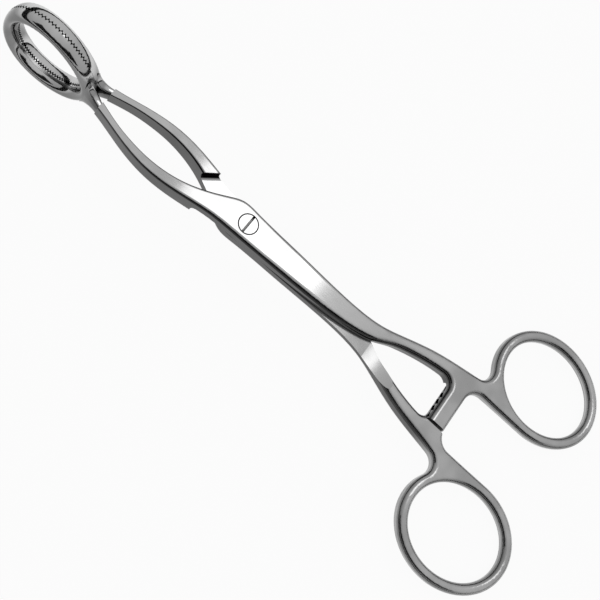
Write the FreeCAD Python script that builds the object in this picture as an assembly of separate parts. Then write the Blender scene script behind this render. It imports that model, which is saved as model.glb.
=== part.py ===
import FreeCAD, Part
import math
import os
from FreeCAD import Vector

# Tongue seizing forceps, millimetres.
# X runs from the jaws (-X) to the finger rings (+X), Z runs along the pivot screw.
# The origin is on the pivot axis, on the flat back face of the joint.
# Each half is drawn with the lap plane at z = 0 and its jaw on the -Y side, then placed.

# Joint
JOINT_T = 5.8           # both halves together, back face to front face
JOINT_HALF_W = 3.95     # half width of the joint, across the flats
LAP_GAP = 0.04          # running gap between the two lap faces
SHOULDER_X = -13.3      # where the lap shoulder crosses the middle of the shank
SHOULDER_ANGLE = 42.0   # slant of the lap shoulder to the long axis, degrees
SHOULDER_R = 1.2        # hollow at the foot of the shoulder
CROTCH_X = 40.5         # where the two handle arms part
RISE_LEN = 14.0         # length over which an arm regains its full thickness

# Pivot screw
SCREW_D = 3.2
SCREW_PLAY = 0.04       # radial, in the upper half
HEAD_D = 4.8
HEAD_H = 1.1
HEAD_PLAY = 0.06        # radial and axial, in the counterbore
HEAD_BREAK = 0.12       # bevel round the head and round the mouth of its seat
SLOT_W = 0.6
SLOT_DEPTH = 0.75

# Jaw rings
JAW_X = -57.5           # centre of the jaw ring
JAW_HALF_L = 10.9       # half length of the rail's centre line
JAW_HALF_H = 10.3       # half height of the rail's centre line
JAW_EGG = 0.13          # how much fuller the ring is towards its tip
RAIL_W = 3.2
JAW_DEPTH = 2.85        # from the closing plane to the back of the rail
NECK_R = 4.8            # hollow between ring and shank, seen from the side
NECK_POWER = 3.0        # how square the section of the neck is, 2 is an oval
NECK_SINK = 0.06        # how far the neck lies below the faces of the shank

# Jaw serrations
TEETH_PER_JAW = 84
GROOVE_W = 0.66
GROOVE_DEPTH = 0.5
JAW_GAP = 0.06          # between the crests of the closed jaws
NECK_LAND = 0.3         # plain strip left at the outer edge of the rail beside the neck

# Jaw shank
SHANK_BOW = 6.45        # greatest distance of its outer edge from the long axis
SHANK_T = 4.1           # thickness at the neck
SHANK_W = 2.0           # width at the neck

# Handle arm, ratchet bar and finger ring
RATCHET_X = 64.75
ARM_Y = 8.35            # centre of the arm beside the ratchet
ARM_T = 4.4
BAR_W = 5.1
BAR_REACH = 5.2         # how far the bar passes the long axis
BAR_GAP = 0.85          # between the end of a bar and the other arm
TOOTH_PITCH = 2.0
TOOTH_H = 1.1
TOOTH_COUNT = 4
TOOTH_FLAT = 0.1        # flat left on each crest
TOOTH_GAP = 0.16        # between the two rows of crests
RING_HOLE_L = 26.4
RING_HOLE_W = 21.7
RING_BAND = 2.85
RING_T = 3.2
RING_TILT = -4.2        # long axis of the ring against the long axis, degrees

# Rounded edges
SHANK_ROUND = 0.45
INNER_ROUND = 0.3       # inner edge of the shank
ARM_ROUND = 1.35
ROOT_R = 3.2            # outside corner between arm and ring
WEB_R = 3.8             # corner between bar and ring
CORNER_R = 2.8          # corner between arm and bar

HALF_T = JOINT_T / 2
NECK_X = JAW_X + JAW_HALF_L + RAIL_W / 2
RING_HALF_L = RING_HOLE_L / 2 + RING_BAND
RING_HALF_W = RING_HOLE_W / 2 + RING_BAND
RING_X = RATCHET_X + BAR_W / 2 + RING_HALF_L + 0.5
RING_Y = ARM_Y + RING_HALF_W
BAR_X0 = RATCHET_X - BAR_W / 2
BAR_X1 = RATCHET_X + BAR_W / 2
BAR_SPARE = 3.8         # length of a bar that is cut off to leave a square end
SHANK_START = NECK_X + SHANK_W * 1.45  # the shank's own section begins here
TALL = 60.0             # height of the tools that cut right through
EDGE_TOL = 0.0005       # how closely faces meet along their edges


def spline(points):
    """Smooth edge through points (x, y)."""
    curve = Part.BSplineCurve()
    curve.interpolate([Vector(x, y, 0) for x, y in points])
    return curve


def line(a, b):
    return Part.makeLine(Vector(a[0], a[1], 0), Vector(b[0], b[1], 0))


def face_of(edges):
    return Part.Face(Part.Wire(Part.__sortEdges__(edges)))


def shank_x(share):
    """Place along the shank: 0 at the neck, 1 at the lap shoulder."""
    return NECK_X + share * (SHOULDER_X - NECK_X)


def outer_shank():
    """Outer edge of the jaw shank, from the jaw to the joint."""
    stations = ((0.16, 0.58), (0.32, 0.78), (0.57, 0.99), (0.70, 1.0), (0.95, 0.85))
    points = [(NECK_X, -JAW_DEPTH * 1.01)]
    points += [(shank_x(share), -SHANK_BOW * bow) for share, bow in stations]
    points += [(SHOULDER_X * 0.6, -JOINT_HALF_W * 1.1), (0.0, -JOINT_HALF_W)]
    return points


def inner_shank():
    """Inner edge of the jaw shank, on to the far side of the joint."""
    stations = ((0.05, 0.13), (0.16, 0.29), (0.28, 0.45), (0.41, 0.56), (0.57, 0.62), (0.79, 0.52), (0.92, 0.34))
    points = [(shank_x(share), -SHANK_BOW * bow) for share, bow in stations]
    points += [(SHOULDER_X * 0.94, -0.75), (SHOULDER_X * 0.58, JOINT_HALF_W * 0.50)]
    points += [(SHOULDER_X * 0.30, JOINT_HALF_W * 0.97), (0.0, JOINT_HALF_W)]
    return points


def outer_arm():
    """Outer edge of the handle arm, from the joint into the finger ring."""
    stations = ((0.52, 0.42), (0.62, 0.53), (0.71, 0.75), (0.83, 1.05), (0.96, 1.26), (1.04, 1.38))
    points = [(RATCHET_X * 0.2, JOINT_HALF_W * 0.91), (RATCHET_X * 0.4, JOINT_HALF_W * 0.84)]
    points += [(RATCHET_X * share, ARM_Y * rise) for share, rise in stations]
    points += [(RING_X - RING_HALF_L * 0.7, RING_Y - RING_HALF_W * 0.66)]
    return points


def inner_arm():
    """Inner edge of the handle arm, from the joint to the ratchet bar."""
    points = [(CROTCH_X * 0.3, -JOINT_HALF_W * 0.89), (CROTCH_X * 0.55, -JOINT_HALF_W * 0.76)]
    points += [(CROTCH_X * 0.75, -JOINT_HALF_W * 0.57), (CROTCH_X * 0.9, -JOINT_HALF_W * 0.30)]
    points += [(CROTCH_X, 0.1)]
    stations = ((0.69, 0.28), (0.77, 0.50), (0.86, 0.66), (0.93, 0.73), (1.0, 0.735))
    points += [(RATCHET_X * share, ARM_Y * rise) for share, rise in stations]
    return points


def ring_ellipse(half_l, half_w):
    """One edge line of the finger ring, as a face between two half ellipses."""
    ellipse = Part.Ellipse(Vector(0, 0, 0), half_l, half_w)
    halves = [Part.Arc(ellipse, start, start + math.pi).toShape() for start in (0, math.pi)]
    wire = Part.Wire(halves)
    wire.rotate(Vector(0, 0, 0), Vector(0, 0, 1), RING_TILT)
    wire.translate(Vector(RING_X, RING_Y, 0))
    return Part.Face(wire)


def prism(face, low, high):
    solid = face.extrude(Vector(0, 0, high - low))
    solid.translate(Vector(0, 0, low))
    return solid


def box(x0, x1, y0, y1, z0, z1):
    return Part.makeBox(x1 - x0, y1 - y0, z1 - z0, Vector(x0, y0, z0))


def plan_strip():
    """Shank, joint, arm and the web that runs into the finger ring, seen along the screw."""
    lower = outer_shank() + inner_arm()
    upper = inner_shank() + outer_arm()
    web = [lower[-1], (RATCHET_X, ring_low()[1]), ring_low(), upper[-1]]
    edges = [spline(lower).toShape(), spline(upper).toShape(), line(lower[0], upper[0])]
    edges += [line(a, b) for a, b in zip(web, web[1:])]
    return face_of(edges)


def ring_low():
    """Point of the finger ring nearest to the long axis."""
    tilt = math.radians(RING_TILT)
    reach = math.hypot(RING_HALF_L * math.sin(tilt), RING_HALF_W * math.cos(tilt))
    shift = (RING_HALF_L ** 2 - RING_HALF_W ** 2) * math.sin(tilt) * math.cos(tilt) / reach
    return (RING_X - shift, RING_Y - reach)


def corner_edges(shape, point, reach):
    """Edges along the screw's direction that stand within reach of a plan point."""
    found = []
    for edge in shape.Edges:
        tangent = edge.tangentAt((edge.FirstParameter + edge.LastParameter) / 2)
        centre = edge.CenterOfMass
        near = math.hypot(centre.x - point[0], centre.y - point[1]) < reach
        if near and abs(tangent.z) > 0.999:
            found.append(edge)
    return found


def plan_solid():
    """Everything seen along the screw, as one tall prism with rounded inside corners."""
    half = TALL / 2
    strip = prism(plan_strip(), -half, half)
    ring = prism(ring_ellipse(RING_HALF_L, RING_HALF_W), -half, half)
    bar = box(BAR_X0, BAR_X1, -BAR_REACH - BAR_SPARE, ARM_Y, -half, half)
    body = strip.multiFuse([ring, bar]).removeSplitter()
    arm_end = inner_arm()[-1][1]
    outer = outer_arm()[-1]
    body = body.makeFillet(CORNER_R, corner_edges(body, (BAR_X0, arm_end), 0.8))
    body = body.makeFillet(WEB_R, corner_edges(body, (BAR_X1, ring_low()[1]), 0.8))
    body = body.makeFillet(ROOT_R, corner_edges(body, outer, 1.5))
    return body.cut(prism(ring_ellipse(RING_HOLE_L / 2, RING_HOLE_W / 2), -half, half))


def rail_line(count=24):
    """Centre line of the jaw rail, an egg that is fuller towards its tip."""
    points = []
    for step in range(count):
        turn = 2 * math.pi * step / count
        full = 1 + JAW_EGG * math.cos(turn)
        x = JAW_X - JAW_HALF_L * math.cos(turn)
        z = JAW_HALF_H * math.sin(turn) * full
        points.append(Vector(x, 0, z))
    curve = Part.BSplineCurve()
    curve.interpolate(points, PeriodicFlag=True)
    return curve


def jaw_rail():
    """Oval bar swept round the egg; the closing plane halves it later."""
    tip = Vector(JAW_X - JAW_HALF_L, 0, 0)
    oval = Part.Ellipse(tip + Vector(0, JAW_DEPTH, 0), tip + Vector(RAIL_W / 2, 0, 0), tip)
    sweep = Part.BRepOffsetAPI.MakePipeShell(Part.Wire(rail_line().toShape()))
    sweep.setBiNormalMode(Vector(0, 1, 0))
    sweep.add(Part.Wire(oval.toShape()), False, False)
    sweep.build()
    sweep.makeSolid()
    return sweep.shape()


def neck_section(x, inner, outer, height, count=20):
    """Closed section of the neck across X, between two depths below the closing plane."""
    points = []
    for step in range(count):
        turn = 2 * math.pi * (step + 0.5) / count
        c, s = math.cos(turn), math.sin(turn)
        across = math.copysign(abs(c) ** (2 / NECK_POWER), c)
        y = -JAW_DEPTH * ((inner + outer) / 2 + (outer - inner) / 2 * across)
        z = height * math.copysign(abs(s) ** (2 / NECK_POWER), s)
        points.append(Vector(x, y, z))
    curve = Part.BSplineCurve()
    curve.interpolate(Points=points, PeriodicFlag=True, Parameters=[float(step) for step in range(count + 1)])
    return Part.Wire(curve.toShape())


def neck():
    """Flares the shank into the back of the jaw rail; stations give share, inner and outer depth."""
    start = NECK_X - RAIL_W / 2
    reach = SHANK_START - start
    stations = ((0.0, 0.05, 0.96), (0.3, 0.055, 0.98), (0.6, 0.15, 1.03), (0.82, 0.30, 1.08))
    stations += ((1.0, 0.45, 1.13), (1.15, 0.51, 1.16))
    wires = []
    for share, inner, outer in stations:
        away = reach * (1 - share)
        flare = NECK_R - math.sqrt(NECK_R ** 2 - min(away, NECK_R * 0.98) ** 2)
        height = SHANK_T / 2 - NECK_SINK + math.copysign(flare, away)
        wires.append(neck_section(start + share * reach, inner, outer, height))
    return Part.makeLoft(wires, True, False)


def side_heights():
    """Half thickness of the forging along X, from the neck to the end of the finger ring."""
    neck_end = (NECK_X - RAIL_W, SHANK_T / 2)
    shank = [(shank_x(0.2), SHANK_T / 2), (shank_x(0.55), SHANK_T * 0.56), (shank_x(0.85), HALF_T * 0.93)]
    joint = [(SHOULDER_X * 0.7, HALF_T), (0.0, HALF_T), (RATCHET_X * 0.2, HALF_T * 0.98)]
    arm = [(RATCHET_X * 0.5, HALF_T * 0.88), (RATCHET_X * 0.8, ARM_T / 2), (RATCHET_X, ARM_T / 2)]
    ring = [(RING_X - RING_HALF_L * 0.75, RING_T * 0.56), (RING_X - RING_HALF_L * 0.3, RING_T / 2)]
    return [neck_end] + shank + joint + arm + ring + [(RING_X + RING_HALF_L * 1.1, RING_T / 2)]


def side_strip():
    """Shank, joint, arm and finger ring seen from the side."""
    top = side_heights()
    bottom = [(x, -z) for x, z in top]
    edges = [spline(top).toShape(), spline(bottom).toShape()]
    edges += [line(top[0], bottom[0]), line(top[-1], bottom[-1])]
    return face_of(edges)


def bar_blank():
    """Shank, joint, arm, ratchet bar and finger ring with square edges."""
    side = prism(side_strip(), -TALL, TALL)
    side.rotate(Vector(0, 0, 0), Vector(1, 0, 0), 90)
    return plan_solid().common(side).common(box(SHANK_START, TALL * 2, -TALL, TALL, -TALL, TALL))


def ends_of(edge):
    return edge.valueAt(edge.FirstParameter), edge.valueAt(edge.LastParameter)


def middle_of(edge):
    return edge.valueAt((edge.FirstParameter + edge.LastParameter) / 2)


def lies_on(edge, points):
    """True for an edge above or below a smooth plan line through points."""
    middle = middle_of(edge)
    plan = Part.Vertex(middle.x, middle.y, 0)
    return plan.distToShape(spline(points).toShape())[0] < 0.05


def runs_along(edge, axis):
    tangent = edge.tangentAt((edge.FirstParameter + edge.LastParameter) / 2)
    return abs(tangent.dot(axis)) > 0.9


def rounded(shape, radius_at):
    """Rounds edges to the radius that radius_at gives for each end of an edge."""
    sheet = FreeCAD.newDocument("rounding")
    base = sheet.addObject("Part::Feature", "Base")
    base.Shape = shape
    fillet = sheet.addObject("Part::Fillet", "Rounded")
    fillet.Base = base
    rows = []
    for index, edge in enumerate(shape.Edges):
        start, end = ends_of(edge)
        radii = (radius_at(edge, start), radius_at(edge, end))
        if min(radii) > 0:
            rows.append((index + 1,) + radii)
    fillet.Edges = rows
    sheet.recompute()
    result = fillet.Shape.copy()
    FreeCAD.closeDocument(sheet.Name)
    return result


def edge_radius(edge, point):
    """Rounding from the neck to the finger ring, which grows towards the ring."""
    middle = middle_of(edge)
    spare_end = middle.y < -BAR_REACH - BAR_SPARE + 0.1
    if runs_along(edge, Vector(0, 0, 1)) or spare_end or abs(middle.x - SHANK_START) < 0.1:
        return 0.0
    if abs(point.x - SHANK_START) > 0.1:
        return ARM_ROUND
    return INNER_ROUND if lies_on(edge, inner_shank() + outer_arm()) else SHANK_ROUND


def lap_cutter():
    """What is taken from below the lap plane, from the shoulder to the full arm."""
    drop = HALF_T + 1.0
    rise = ((0.0, 0.0), (0.25, 0.10), (0.5, 0.34), (0.75, 0.64), (1.0, 1.0))
    slope = [(CROTCH_X + RISE_LEN * run, LAP_GAP / 2 - drop * fall) for run, fall in rise]
    start = (SHOULDER_X - TALL, LAP_GAP / 2)
    floor = [slope[-1], (slope[-1][0], -TALL / 2), (start[0], -TALL / 2), start, slope[0]]
    edges = [spline(slope).toShape()] + [line(a, b) for a, b in zip(floor, floor[1:])]
    profile = prism(face_of(edges), -TALL, TALL)
    profile.rotate(Vector(0, 0, 0), Vector(1, 0, 0), 90)
    slant = math.radians(SHOULDER_ANGLE)
    shoulder = Part.makeBox(TALL * 3, TALL * 2, TALL * 2, Vector(0, -TALL, -TALL))
    shoulder.rotate(Vector(0, 0, 0), Vector(0, 0, 1), math.degrees(math.pi / 2 - slant))
    shoulder.translate(Vector(SHOULDER_X, -JOINT_HALF_W, 0))
    cutter = profile.common(shoulder)
    foot = [e for e in cutter.Edges if abs(middle_of(e).z - LAP_GAP / 2) < 1e-6 and is_foot(e)]
    return cutter.makeFillet(SHOULDER_R, foot)


def is_foot(edge):
    """True for the edge of the lap cutter that runs along the slanted shoulder."""
    slant = math.radians(SHOULDER_ANGLE)
    return runs_along(edge, Vector(math.cos(slant), -math.sin(slant), 0))


def ratchet_cutter():
    """Clears the other half's bar, and squares off the end of this half's bar."""
    arm_wall = BAR_REACH + BAR_GAP
    side = BAR_GAP
    end = -BAR_REACH - BAR_SPARE - 1
    below = box(BAR_X0 - side, BAR_X1 + side, end, arm_wall, -TALL, TOOTH_GAP / 2)
    spare = box(BAR_X0 - side, BAR_X1 + side, end, -BAR_REACH, -TALL, TALL)
    return below.fuse(spare)


def tooth_gullets():
    """Saw tooth gullets on the underside of the bar, steep faces towards the arm."""
    top = TOOTH_GAP / 2
    first = -BAR_REACH + (TOOTH_PITCH - TOOTH_FLAT) * 0.2
    gullets = []
    for tooth in range(TOOTH_COUNT):
        y = first + tooth * TOOTH_PITCH
        corners = [(y, top - TOOTH_H), (y, top + TOOTH_H)]
        corners += [(y + TOOTH_PITCH - TOOTH_FLAT, top), (y + TOOTH_PITCH - TOOTH_FLAT, top - TOOTH_H)]
        wire = Part.makePolygon([Vector(BAR_X0 - 1, p, z) for p, z in corners + corners[:1]])
        gullets.append(Part.Face(wire).extrude(Vector(BAR_W + 2, 0, 0)))
    return gullets


def serrations(shift):
    """Grooves across the facing side of the jaw rail, square to its centre line, blind at the neck."""
    rail = rail_line()
    length = rail.length()
    mouth = 1.2
    root = Vector(0, -JAW_GAP / 2 - GROOVE_DEPTH, 0)
    crest = root + Vector(0, GROOVE_DEPTH * mouth, 0)
    grooves = []
    for tooth in range(TEETH_PER_JAW):
        param = rail.parameterAtDistance(length * (tooth + shift) / TEETH_PER_JAW)
        centre = rail.value(param)
        along = rail.tangent(param)[0]
        outward = along.cross(Vector(0, 1, 0)).normalize()
        side = along * (GROOVE_W / 2 * mouth)
        at_neck = centre.x > JAW_X and abs(centre.z) < SHANK_T / 2 + NECK_R
        reach = RAIL_W / 2 - NECK_LAND if at_neck else RAIL_W
        start = centre - outward * RAIL_W
        wire = Part.makePolygon([start + root, start + crest + side, start + crest - side, start + root])
        grooves.append(Part.Face(wire).extrude(outward * (RAIL_W + reach)))
    return grooves


def forging(shift):
    """One half, jaw on the -Y side, before its bore; shift moves the serrations along the rail."""
    rail = jaw_rail().common(box(-TALL * 2, 0, -TALL, -JAW_GAP / 2, -TALL, TALL))
    jaw = rail.cut(serrations(shift)).fuse(neck())
    bar = rounded(bar_blank(), edge_radius).cut(lap_cutter()).cut(ratchet_cutter())
    return bar.cut(tooth_gullets()).fuse(jaw)


def rod(diameter, low, high):
    return Part.makeCylinder(diameter / 2, high - low, Vector(0, 0, low))


def upper_half():
    """Turns on the screw: plain bore, with a counterbore for the head."""
    bore = rod(SCREW_D + 2 * SCREW_PLAY, -HALF_T, HALF_T)
    seat = rod(HEAD_D + 2 * HEAD_PLAY, HALF_T - HEAD_H - HEAD_PLAY, TALL)
    mouth_r = HEAD_D / 2 + HEAD_PLAY
    mouth = Part.makeCone(mouth_r, mouth_r + HEAD_BREAK * 2, HEAD_BREAK * 2, Vector(0, 0, HALF_T - HEAD_BREAK))
    return forging(0.0).cut([bore, seat, mouth])


def lower_half():
    """Holds the screw: the same forging turned over, its serrations half a pitch on."""
    body = forging(0.5)
    body.rotate(Vector(0, 0, 0), Vector(1, 0, 0), 180)
    return body.cut(rod(SCREW_D, -TALL, TALL))


def pivot_screw():
    """Flat slotted screw, head flush with the front face and end flush with the back."""
    head = rod(HEAD_D, HALF_T - HEAD_H, HALF_T)
    rim = [edge for edge in head.Edges if edge.Closed and middle_of(edge).z > HALF_T - 0.01]
    head = head.makeChamfer(HEAD_BREAK, rim)
    body = head.fuse(rod(SCREW_D, -HALF_T, HALF_T - HEAD_H))
    slot = box(-SLOT_W / 2, SLOT_W / 2, -HEAD_D, HEAD_D, HALF_T - SLOT_DEPTH, TALL)
    return body.cut(slot).removeSplitter()


def main():
    os.makedirs("parts", exist_ok=True)
    nodes = {"upper_half": upper_half(), "lower_half": lower_half(), "pivot_screw": pivot_screw()}
    for name, shape in nodes.items():
        shape.translate(Vector(0, 0, HALF_T))
        shape.fixTolerance(EDGE_TOL)
        shape.exportStep("parts/" + name + ".step")


if __name__ == "__main__":
    main()
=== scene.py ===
"""Looks of the tongue seizing forceps: polished steel halves and screw on a pale studio floor.

Lengths are in metres unless their name says mm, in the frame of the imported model: X from the
jaws to the finger rings, Z along the pivot screw, origin on the back face of the joint.
"""

import logging
import math
from dataclasses import dataclass
from enum import Enum

import bpy
from mathutils import Matrix, Vector

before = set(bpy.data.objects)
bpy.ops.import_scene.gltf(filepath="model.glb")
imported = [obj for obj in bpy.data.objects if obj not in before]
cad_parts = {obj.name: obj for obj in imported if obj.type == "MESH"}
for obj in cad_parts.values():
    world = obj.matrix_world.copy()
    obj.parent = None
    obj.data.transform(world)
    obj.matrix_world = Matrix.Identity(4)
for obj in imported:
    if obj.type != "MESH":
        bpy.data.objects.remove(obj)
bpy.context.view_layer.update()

MM = 0.001
WHITE = (1.0, 1.0, 1.0, 1.0)
NOISE_MIDDLE = 0.5

Triple = tuple[float, float, float]
Tones = tuple[tuple[float, float], ...]

logging.basicConfig(level=logging.INFO, format="%(message)s")
log = logging.getLogger("forceps")


class Piece(Enum):
    """The pieces of the instrument, by the name of their node."""

    UPPER_HALF = "upper_half"
    LOWER_HALF = "lower_half"
    PIVOT_SCREW = "pivot_screw"


class Graph:
    """The nodes of one material or of the world, with short ways to add and join them."""

    def __init__(self, tree: bpy.types.NodeTree) -> None:
        """Starts from an empty node tree.

        Args:
            tree: the node tree of a material or of the world.
        """
        self.tree = tree
        self.tree.nodes.clear()

    def feed(self, socket: bpy.types.NodeSocket, value: object) -> None:
        """Links an input to an output, or sets it to a constant.

        Args:
            socket: the input.
            value: an output socket, or the number, vector or colour itself.
        """
        if isinstance(value, bpy.types.NodeSocket):
            self.tree.links.new(value, socket)
        else:
            socket.default_value = value

    def add(self, kind: str, settings: dict[str, object] | None = None,
            **inputs: object) -> bpy.types.Node:
        """Adds a node, with its options and the inputs that stay constant or are linked.

        Args:
            kind: the node's type name.
            settings: options of the node, such as its operation.
            inputs: values or output sockets, by input name with _ for a blank.

        Returns:
            The new node.
        """
        node = self.tree.nodes.new(kind)
        for name, value in (settings or {}).items():
            setattr(node, name, value)
        for name, value in inputs.items():
            self.feed(node.inputs[name.replace("_", " ")], value)
        return node

    def combine(self, operation: str, first: object, second: object = 0.0
                ) -> bpy.types.NodeSocket:
        """Combines two numbers.

        Args:
            operation: name of the math operation.
            first: number or output socket.
            second: number or output socket.

        Returns:
            The socket that holds the result.
        """
        node = self.add("ShaderNodeMath", {"operation": operation})
        self.feed(node.inputs[0], first)
        self.feed(node.inputs[1], second)
        return node.outputs[0]

    def multiply(self, first: bpy.types.NodeSocket, second: bpy.types.NodeSocket
                 ) -> bpy.types.NodeSocket:
        """Multiplies two colours.

        Args:
            first: colour socket.
            second: colour socket.

        Returns:
            The socket that holds the darkened colour.
        """
        node = self.add("ShaderNodeMixRGB", {"blend_type": "MULTIPLY"}, Fac=1.0,
                        Color1=first, Color2=second)
        return node.outputs[0]

    def ramp(self, fac: bpy.types.NodeSocket, stops: Tones) -> bpy.types.NodeSocket:
        """Turns a number into a grey by a colour ramp that eases between its stops.

        Args:
            fac: the number that is looked up.
            stops: pairs of position and grey value.

        Returns:
            The colour socket.
        """
        node = self.add("ShaderNodeValToRGB", Fac=fac)
        node.color_ramp.interpolation = "EASE"
        elements = node.color_ramp.elements
        while len(elements) < len(stops):
            elements.new(0.5)
        for element, (position, grey) in zip(elements, stops):
            element.position = position
            element.color = (grey, grey, grey, 1.0)
        return node.outputs[0]


@dataclass(frozen=True)
class Finish:
    """A surface finish that is made of its own nodes."""

    name: str

    def build(self) -> bpy.types.Material:
        """Builds the material.

        Returns:
            The finished material.
        """
        material = bpy.data.materials.new(self.name)
        material.use_nodes = True
        graph = Graph(material.node_tree)
        graph.add("ShaderNodeOutputMaterial", Surface=self.shader(graph))
        return material

    def shader(self, graph: Graph) -> bpy.types.NodeSocket:
        """Adds the nodes of the finish, which each kind of finish does in its own way.

        Args:
            graph: the material's nodes.

        Returns:
            The shader socket.
        """
        raise NotImplementedError


@dataclass(frozen=True)
class ShadeZone:
    """Painted light and shade of the steel over one stretch of the instrument.

    The tones, painted shade that darkens upright faces, belong to faces from upright (0) to level
    (1), and fade in from start to full, both in metres along X.
    """

    start: float
    full: float
    tones: Tones


# painted light and shade per stretch: upright faces darkened, level faces lightened, by facing
# alone
JAW_PAINTED_SHADE = ShadeZone(-80 * MM, -79 * MM, ((0.0, 0.20), (0.45, 0.24), (0.70, 0.60), (1.0, 0.85)))
NECK_PAINTED_SHADE = ShadeZone(-48 * MM, -42 * MM, ((0.0, 0.08), (0.45, 0.09), (0.85, 0.25), (0.96, 0.78)))
JOINT_PAINTED_SHADE = ShadeZone(-36 * MM, -24 * MM, (
    (0.0, 0.07), (0.35, 0.03), (0.74, 0.05), (0.90, 0.45), (0.985, 0.86)))
ARM_SATIN_AND_PAINTED_SHADE = ShadeZone(26 * MM, 46 * MM, (
    (0.0, 0.09), (0.35, 0.05), (0.70, 0.12), (0.90, 0.45), (0.985, 0.72)))
RING_PAINTED_SHADE = ShadeZone(60 * MM, 72 * MM, (
    (0.0, 0.45), (0.30, 0.26), (0.62, 0.24), (0.88, 0.55), (0.985, 0.72)))


@dataclass(frozen=True)
class PolishedSteel(Finish):
    """Bright polished forged steel, with painted shade that makes it darker where its faces turn
    away from the top.

    It is a mirror at the jaws and takes the satin on top of its roughness from the arms on.
    """

    shade_zones: tuple[ShadeZone, ...] = (JAW_PAINTED_SHADE, NECK_PAINTED_SHADE, JOINT_PAINTED_SHADE, ARM_SATIN_AND_PAINTED_SHADE, RING_PAINTED_SHADE)
    roughness: float = 0.10
    satin: float = 0.10
    roughness_spread: float = 0.05
    cloud_tones: Tones = ((0.36, 0.78), (0.58, 1.0))
    wave_size: float = 16.0 * MM
    wave_depth: float = 0.02 * MM
    grain_size: float = 0.25 * MM
    grain_stretch: float = 14.0
    grain_depth: float = 0.0008 * MM
    # painted shade in grooves and crevices, by ambient occlusion
    groove_shade_reach: float = 0.9 * MM
    groove_shade_tones: Tones = ((0.4, 0.04), (0.78, 1.0))
    groove_shade_samples: int = 8

    def shader(self, graph: Graph) -> bpy.types.NodeSocket:
        """Adds the steel's nodes.

        Args:
            graph: the material's nodes.

        Returns:
            The shader socket.
        """
        place = graph.add("ShaderNodeTexCoord")
        colour = self._colour(graph, place)
        roughness, relief = self._surface(graph, place)
        steel = graph.add("ShaderNodeBsdfPrincipled", Metallic=1.0, Base_Color=colour,
                          Roughness=roughness, Normal=relief)
        return steel.outputs[0]

    def _colour(self, graph: Graph, place: bpy.types.Node) -> bpy.types.NodeSocket:
        """Grey of the steel: painted light and shade (bright top, darker flanks), painted shade in
        the grooves, and faint polish clouds.

        Args:
            graph: the material's nodes.
            place: its texture coordinates.

        Returns:
            The colour socket.
        """
        facing = graph.add("ShaderNodeSeparateXYZ", Vector=place.outputs["Normal"])
        level = graph.combine("ABSOLUTE", facing.outputs["Z"])
        # painted shade: the grey is looked up from how level each face is, so upright faces come
        # out darker
        turned = graph.ramp(level, self.shade_zones[0].tones)
        for zone in self.shade_zones[1:]:
            painted_tone = graph.ramp(level, zone.tones)
            share = self._share(graph, place, zone)
            turned = graph.add("ShaderNodeMixRGB", Fac=share, Color1=turned,
                               Color2=painted_tone).outputs[0]
        clouds = graph.add("ShaderNodeTexNoise", Vector=place.outputs["Object"],
                           Scale=1.0 / self.wave_size, Detail=3.0, Roughness=0.6)
        clouded = graph.multiply(turned, graph.ramp(clouds.outputs[0], self.cloud_tones))
        # painted shade: ambient occlusion darkens grooves, serrations and the gaps between the
        # halves
        painted_groove_shade = graph.add("ShaderNodeAmbientOcclusion",
                           {"samples": self.groove_shade_samples, "only_local": False},
                           Distance=self.groove_shade_reach)
        return graph.multiply(clouded, graph.ramp(painted_groove_shade.outputs["AO"], self.groove_shade_tones))

    def _share(self, graph: Graph, place: bpy.types.Node, zone: ShadeZone) -> bpy.types.NodeSocket:
        """Share of a zone at each place along the instrument.

        Args:
            graph: the material's nodes.
            place: its texture coordinates.
            zone: the stretch that fades in.

        Returns:
            The socket that holds the share, 0 before the stretch and 1 from there on.
        """
        along = graph.add("ShaderNodeSeparateXYZ", Vector=place.outputs["Object"])
        fade = graph.add("ShaderNodeMapRange", {"interpolation_type": "SMOOTHSTEP"},
                         Value=along.outputs["X"], From_Min=zone.start, From_Max=zone.full)
        return fade.outputs[0]

    def _surface(self, graph: Graph, place: bpy.types.Node
                 ) -> tuple[bpy.types.NodeSocket, bpy.types.NodeSocket]:
        """Gloss with faint polishing lines and the soft waviness of hand polishing.

        Args:
            graph: the material's nodes.
            place: its texture coordinates.

        Returns:
            The roughness socket and the normal socket.
        """
        stretched = graph.add("ShaderNodeMapping", Vector=place.outputs["Object"],
                              Scale=(1.0 / self.grain_stretch, 1.0, 1.0))
        grain = graph.add("ShaderNodeTexNoise", Vector=stretched.outputs[0],
                          Scale=1.0 / self.grain_size, Detail=4.0, Roughness=0.65)
        waves = graph.add("ShaderNodeTexNoise", Vector=place.outputs["Object"],
                          Scale=1.0 / self.wave_size, Detail=1.0, Roughness=0.4)
        swing = graph.combine("SUBTRACT", grain.outputs[0], NOISE_MIDDLE)
        spread = graph.combine("MULTIPLY", swing, self.roughness_spread / NOISE_MIDDLE)
        dulled = graph.combine("MULTIPLY", self._share(graph, place, ARM_SATIN_AND_PAINTED_SHADE), self.satin)
        mirror = graph.combine("ADD", spread, self.roughness)
        roughness = graph.combine("ADD", mirror, dulled)
        slow = graph.add("ShaderNodeBump", Strength=1.0, Distance=self.wave_depth,
                         Height=waves.outputs[0])
        fine = graph.add("ShaderNodeBump", Strength=1.0, Distance=self.grain_depth,
                         Height=grain.outputs[0], Normal=slow.outputs[0])
        return roughness, fine.outputs[0]


@dataclass(frozen=True)
class MattPaper(Finish):
    """Matt paper or card, whose grey dips a little in its mottle."""

    grey: float
    dip: float
    mottle_scale: float

    def shader(self, graph: Graph) -> bpy.types.NodeSocket:
        """Adds the paper's nodes.

        Args:
            graph: the material's nodes.

        Returns:
            The shader socket.
        """
        mottle = graph.add("ShaderNodeTexNoise", Scale=self.mottle_scale, Detail=2.0)
        tones = ((0.3, self.grey * (1.0 - self.dip)), (0.7, self.grey))
        matt = graph.add("ShaderNodeBsdfDiffuse", Color=graph.ramp(mottle.outputs[0], tones))
        return matt.outputs[0]


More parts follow.
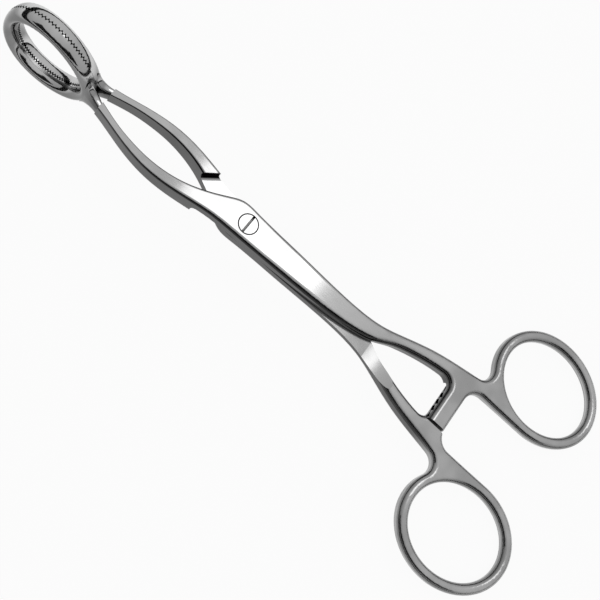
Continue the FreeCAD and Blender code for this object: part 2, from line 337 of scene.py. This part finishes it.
@dataclass(frozen=True)
class WhitePaper(MattPaper):
    """Matt paper that the camera and mirrors see as nearly white, and that keeps a shadow."""

    glow_share: float

    def shader(self, graph: Graph) -> bpy.types.NodeSocket:
        """Adds the nodes of the paper and of its glow.

        Args:
            graph: the material's nodes.

        Returns:
            The shader socket.
        """
        matt = super().shader(graph)
        glow = graph.add("ShaderNodeEmission", Color=WHITE, Strength=1.0)
        rays = graph.add("ShaderNodeLightPath").outputs
        seen = graph.combine("MAXIMUM", rays["Is Camera Ray"], rays["Is Glossy Ray"])
        seen = graph.combine("MAXIMUM", seen, rays["Is Transmission Ray"])
        mixed = graph.add("ShaderNodeMixShader",
                          Fac=graph.combine("MULTIPLY", seen, self.glow_share))
        graph.feed(mixed.inputs[1], matt)
        graph.feed(mixed.inputs[2], glow.outputs[0])
        return mixed.outputs[0]


@dataclass(frozen=True)
class Forceps:
    """The instrument itself: two forged halves and the screw, dressed as polished steel."""

    halves: PolishedSteel = PolishedSteel("polished_forging")
    # the screw takes the same painted shade as the joint's stretch
    screw: PolishedSteel = PolishedSteel("polished_screw", shade_zones=(JOINT_PAINTED_SHADE,), satin=0.0,
                                         grain_stretch=1.0)

    def dress(self) -> None:
        """Gives each piece its finish."""
        forging = self.halves.build()
        turned = self.screw.build()
        for piece in Piece:
            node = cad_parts[piece.value]
            finish = turned if piece is Piece.PIVOT_SCREW else forging
            node.data.materials.clear()
            node.data.materials.append(finish)
            log.info("%s: %d faces, finish %s", piece.value, len(node.data.polygons), finish.name)


@dataclass(frozen=True)
class Camera:
    """The photograph's viewpoint; right and down are the directions of its picture's axes."""

    place_mm: Triple = (-19.82, -100.92, 231.85)
    right: Triple = (0.73428566, 0.56923958, 0.37045958)
    down: Triple = (0.65980787, -0.72725497, -0.19031126)
    focal_px: float = 1085.49
    photo_px: int = 600
    sensor_mm: float = 36.0
    near: float = 1 * MM
    far: float = 100.0

    def build(self) -> None:
        """Creates the camera and makes it the scene's own."""
        data = bpy.data.cameras.new("photo_camera")
        data.sensor_width = self.sensor_mm
        data.lens = self.focal_px / self.photo_px * self.sensor_mm
        data.clip_start = self.near
        data.clip_end = self.far
        camera = bpy.data.objects.new("photo_camera", data)
        bpy.context.collection.objects.link(camera)
        right = Vector(self.right)
        up = -Vector(self.down)
        turn = Matrix((right, up, right.cross(up))).transposed()
        camera.matrix_world = Matrix.Translation(Vector(self.place_mm) * MM) @ turn.to_4x4()
        bpy.context.scene.camera = camera
        log.info("camera: lens %.1f mm", data.lens)


@dataclass(frozen=True)
class Floor:
    """Floor that slopes just under the jaw rims and the far ends of the finger rings."""

    half_size: float = 12.0
    jaw_x: float = -57.5 * MM
    jaw_low: float = -9.3 * MM
    ring_x: float = 98.0 * MM
    ring_low: float = 1.2 * MM
    finish: WhitePaper = WhitePaper("pale_floor", grey=0.9, dip=0.02, mottle_scale=60.0,
                                    glow_share=0.94)

    def build(self) -> None:
        """Lays the floor."""
        slope = (self.ring_low - self.jaw_low) / (self.ring_x - self.jaw_x)
        corners = []
        for x, y in ((-1, -1), (1, -1), (1, 1), (-1, 1)):
            height = self.jaw_low + slope * (x * self.half_size - self.jaw_x)
            corners.append((x * self.half_size, y * self.half_size, height))
        mesh = bpy.data.meshes.new("floor")
        mesh.from_pydata(corners, [], [(0, 1, 2, 3)])
        mesh.materials.append(self.finish.build())
        floor = bpy.data.objects.new("floor", mesh)
        bpy.context.collection.objects.link(floor)
        log.info("floor: slope %.1f degrees", math.degrees(math.atan(slope)))


@dataclass(frozen=True)
class DarkCard:
    """Upright arc of dark card round the table, which only the steel mirrors.

    It runs from start to end in degrees, 0 being +X and 90 being +Y, with a fold at each step.
    """

    name: str
    start: float
    end: float
    foot: float
    top: float
    radius: float = 1.2
    step: float = 7.5
    finish: MattPaper = MattPaper("dark_card", grey=0.03, dip=0.2, mottle_scale=40.0)

    def build(self) -> None:
        """Stands the card."""
        folds = round((self.end - self.start) / self.step)
        points = []
        for fold in range(folds + 1):
            turn = math.radians(self.start + fold * self.step)
            for height in (self.foot, self.top):
                points.append((self.radius * math.cos(turn), self.radius * math.sin(turn), height))
        faces = [(2 * fold, 2 * fold + 2, 2 * fold + 3, 2 * fold + 1) for fold in range(folds)]
        mesh = bpy.data.meshes.new(self.name)
        mesh.from_pydata(points, [], faces)
        mesh.materials.append(self.finish.build())
        card = bpy.data.objects.new(self.name, mesh)
        bpy.context.collection.objects.link(card)
        card.visible_camera = False
        card.visible_diffuse = False
        card.visible_shadow = False
        log.info("%s: %d folds", self.name, folds)


@dataclass(frozen=True)
class Softbox:
    """Rectangular soft lamp that faces the joint, whose glow is 1 where it looks white."""

    name: str = "joint_softbox"
    place: Triple = (0.045, 0.244, 0.546)
    width: float = 0.18
    depth: float = 0.24
    glow: float = 1.0

    def build(self) -> None:
        """Hangs the lamp, with its width along the instrument."""
        data = bpy.data.lights.new(self.name, "AREA")
        data.shape = "RECTANGLE"
        data.size = self.width
        data.size_y = self.depth
        data.energy = self.glow * math.pi * self.width * self.depth
        lamp = bpy.data.objects.new(self.name, data)
        bpy.context.collection.objects.link(lamp)
        back = Vector(self.place).normalized()
        right = Vector((1, 0, 0)).cross(back).cross(back).normalized() * -1
        turn = Matrix((right, back.cross(right), back)).transposed()
        lamp.matrix_world = Matrix.Translation(Vector(self.place)) @ turn.to_4x4()
        lamp.visible_camera = False
        log.info("%s: %.2f W", self.name, data.energy)


@dataclass(frozen=True)
class Studio:
    """Everything round the instrument: floor, dark cards, soft lamp and an even pale world."""

    floor: Floor = Floor()
    cards: tuple[DarkCard, ...] = (
        DarkCard("card_ring", start=0.0, end=360.0, foot=-0.2, top=0.25),
        DarkCard("front_card", start=210.0, end=330.0, foot=0.5, top=1.5),
    )
    lamp: Softbox = Softbox()
    world_grey: float = 0.5

    def build(self) -> None:
        """Builds the studio."""
        self.floor.build()
        for card in self.cards:
            card.build()
        self.lamp.build()
        self._world()

    def _world(self) -> None:
        """Fills the rest with even pale light."""
        world = bpy.data.worlds.new("studio")
        world.use_nodes = True
        bpy.context.scene.world = world
        graph = Graph(world.node_tree)
        grey = (self.world_grey,) * 3 + (1.0,)
        light = graph.add("ShaderNodeBackground", Color=grey, Strength=1.0)
        graph.add("ShaderNodeOutputWorld", Surface=light.outputs[0])


def main() -> None:
    """Dresses the instrument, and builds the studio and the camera."""
    bpy.context.scene.view_settings.view_transform = "Standard"
    Forceps().dress()
    Studio().build()
    Camera().build()


if __name__ == "__main__":
    main()
